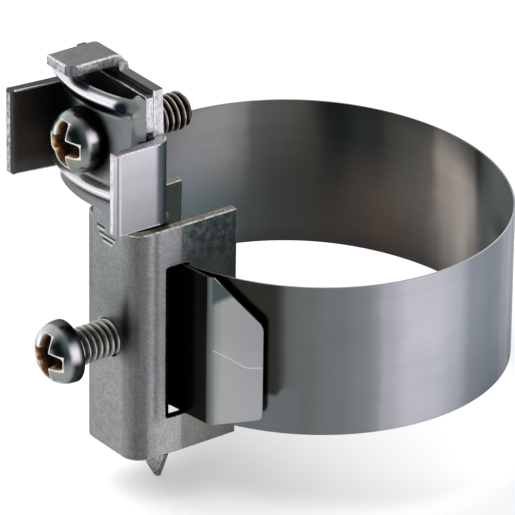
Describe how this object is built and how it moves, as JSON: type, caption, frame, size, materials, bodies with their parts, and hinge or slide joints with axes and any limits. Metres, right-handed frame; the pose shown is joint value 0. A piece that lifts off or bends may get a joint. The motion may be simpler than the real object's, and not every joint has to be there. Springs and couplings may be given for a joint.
{
  "type": "earthing pipe clamp",
  "caption": "Earthing clamp for metal pipes: a strap looped through a bent channel with a tightening screw, and a tongue with a screw terminal for the earth conductor.",
  "frame": {"origin": "on the axis of a pipe held in the strap's loop, at the strap's mid height, in the channel's middle plane", "axes": "+Z along the pipe towards the terminal, -Y out of the loop through the channel's web and the screw heads, +X towards the strap's folded end"},
  "size_m": [0.0677, 0.0825, 0.0737],
  "materials": {
    "channel_sheet": "satin nickel plate with fine grain",
    "strap_sheet": "smooth rolled strip with soft reflections",
    "screw_metal": "bright plated",
    "piece_sheet": "bright plated, rough cut edges",
    "bracket_sheet": "satin nickel plate with fine vertical streaks",
    "plate_sheet": "smooth nickel plate"
  },
  "bodies": {
    "clamp_body": {"body_channel": "channel_sheet", "strap": "strap_sheet", "terminal_bracket": "bracket_sheet"},
    "pressure_slide": {"pressure_piece": "piece_sheet"},
    "tension_turn": {"tension_screw": "screw_metal"},
    "plate_slide": {"terminal_pressure_plate": "plate_sheet"},
    "terminal_turn": {"terminal_screw": "screw_metal"}
  },
  "joints": [
    {"name": "pressure_piece_slide", "type": "slide", "parent": "clamp_body", "child": "pressure_slide", "axis": [0, 1, 0], "range_m": [-0.0034, 0]},
    {"name": "tension_screw_turn", "type": "hinge", "parent": "pressure_slide", "child": "tension_turn", "pos_m": [0, -0.0396, 0], "axis": [0, 1, 0], "range_deg": [-1230, 0]},
    {"name": "terminal_plate_slide", "type": "slide", "parent": "clamp_body", "child": "plate_slide", "axis": [0, 1, 0], "range_m": [-0.006, 0]},
    {"name": "terminal_screw_turn", "type": "hinge", "parent": "plate_slide", "child": "terminal_turn", "pos_m": [0, -0.0396, 0.0346], "axis": [0, 1, 0], "range_deg": [-2165, 0]}
  ],
  "couplings": [
    {"joint": "tension_screw_turn", "follows": "pressure_piece_slide", "rad_per_m": 6283.2},
    {"joint": "terminal_screw_turn", "follows": "terminal_plate_slide", "rad_per_m": 6283.2}
  ]
}
